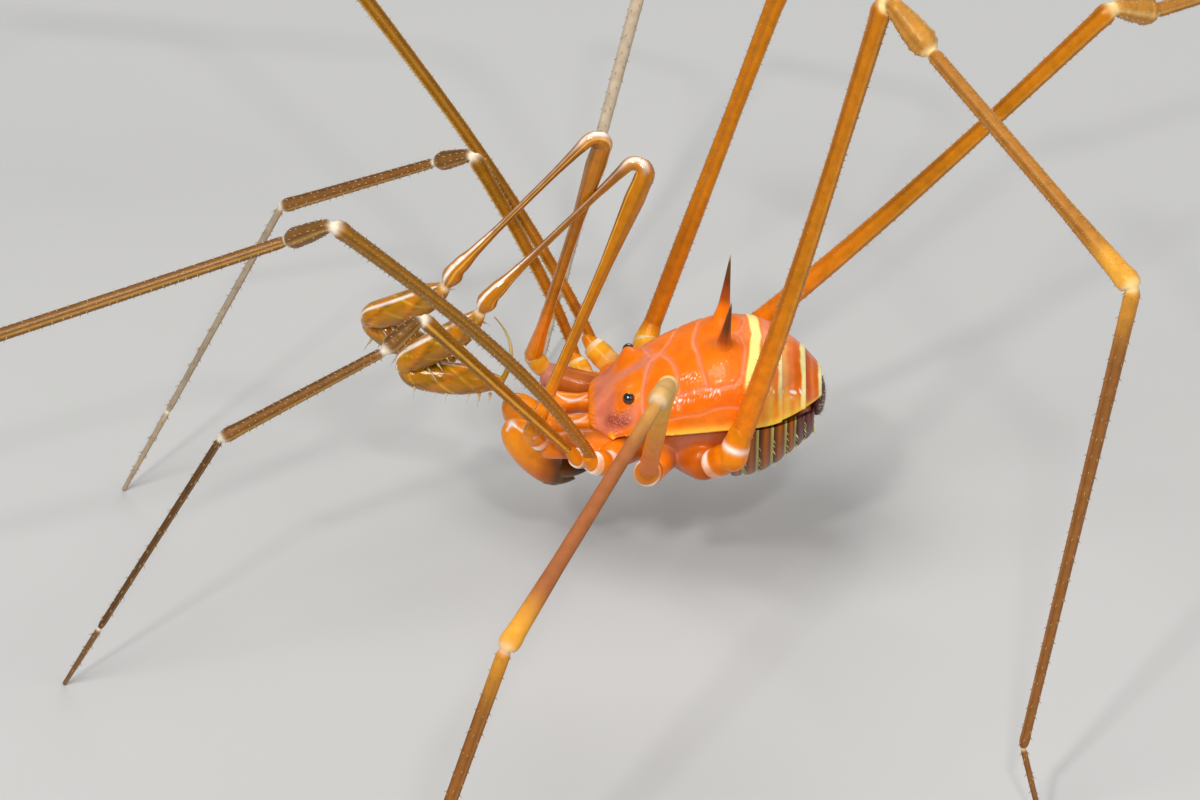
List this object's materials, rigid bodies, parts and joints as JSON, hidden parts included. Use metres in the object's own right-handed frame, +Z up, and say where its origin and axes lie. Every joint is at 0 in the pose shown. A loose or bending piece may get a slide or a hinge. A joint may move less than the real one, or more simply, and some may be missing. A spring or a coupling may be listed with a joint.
{
  "type": "long-palped armoured harvestman",
  "caption": "Still, life-size harvestman in a walking stance, with spined domed back, long folded palps, swollen jaws and long thin legs.",
  "frame": {"origin": "on the floor, below the middle of the animal's bounding box", "axes": "+Z up, the head looks along -X, the animal's left side is towards -Y"},
  "size_m": [0.0702, 0.0388, 0.0236],
  "materials": {
    "back_shield": "glossy orange cuticle with salmon grooves and pale yellow bands",
    "tergites": "orange cuticle with pale yellow hind borders",
    "operculum": "dull purple-brown cuticle with short hairs",
    "belly": "orange-brown cuticle with mauve patches and pale membranes",
    "eye": "wet black",
    "trochanter": "glossy orange cuticle with cream rings",
    "femur": "glossy orange-brown cuticle with fine tubercles",
    "patella": "granular orange-brown cuticle",
    "tibia": "orange-brown cuticle with fine hairs",
    "foot": "brown to pale grey cuticle with fine hairs",
    "palp": "very glossy translucent amber cuticle",
    "chelicera": "very glossy orange cuticle, brown below"
  },
  "bodies": {
    "root": {"anal_operculum": "operculum", "chelicera_left_base": "chelicera", "chelicera_left_hand": "chelicera", "chelicera_right_base": "chelicera", "chelicera_right_hand": "chelicera", "eye_left": "eye", "eye_right": "eye", "free_tergites": "tergites", "leg_left_1_femur": "femur", "leg_left_1_foot": "foot", "leg_left_1_patella": "patella", "leg_left_1_tibia": "tibia", "leg_left_1_trochanter": "trochanter", "leg_left_2_femur": "femur", "leg_left_2_foot": "foot", "leg_left_2_patella": "patella", "leg_left_2_tibia": "tibia", "leg_left_2_trochanter": "trochanter", "leg_left_3_femur": "femur", "leg_left_3_foot": "foot", "leg_left_3_patella": "patella", "leg_left_3_tibia": "tibia", "leg_left_3_trochanter": "trochanter", "leg_left_4_femur": "femur", "leg_left_4_foot": "foot", "leg_left_4_patella": "patella", "leg_left_4_tibia": "tibia", "leg_left_4_trochanter": "trochanter", "leg_right_1_femur": "femur", "leg_right_1_foot": "foot", "leg_right_1_patella": "patella", "leg_right_1_tibia": "tibia", "leg_right_1_trochanter": "trochanter", "leg_right_2_femur": "femur", "leg_right_2_foot": "foot", "leg_right_2_patella": "patella", "leg_right_2_tibia": "tibia", "leg_right_2_trochanter": "trochanter", "leg_right_3_femur": "femur", "leg_right_3_foot": "foot", "leg_right_3_patella": "patella", "leg_right_3_tibia": "tibia", "leg_right_3_trochanter": "trochanter", "leg_right_4_femur": "femur", "leg_right_4_foot": "foot", "leg_right_4_patella": "patella", "leg_right_4_tibia": "tibia", "leg_right_4_trochanter": "trochanter", "palp_left_femur": "palp", "palp_left_patella": "palp", "palp_left_tarsus": "palp", "palp_left_tibia": "palp", "palp_right_femur": "palp", "palp_right_patella": "palp", "palp_right_tarsus": "palp", "palp_right_tibia": "palp", "scutum": "back_shield", "venter": "belly"}
  },
  "joints": []
}
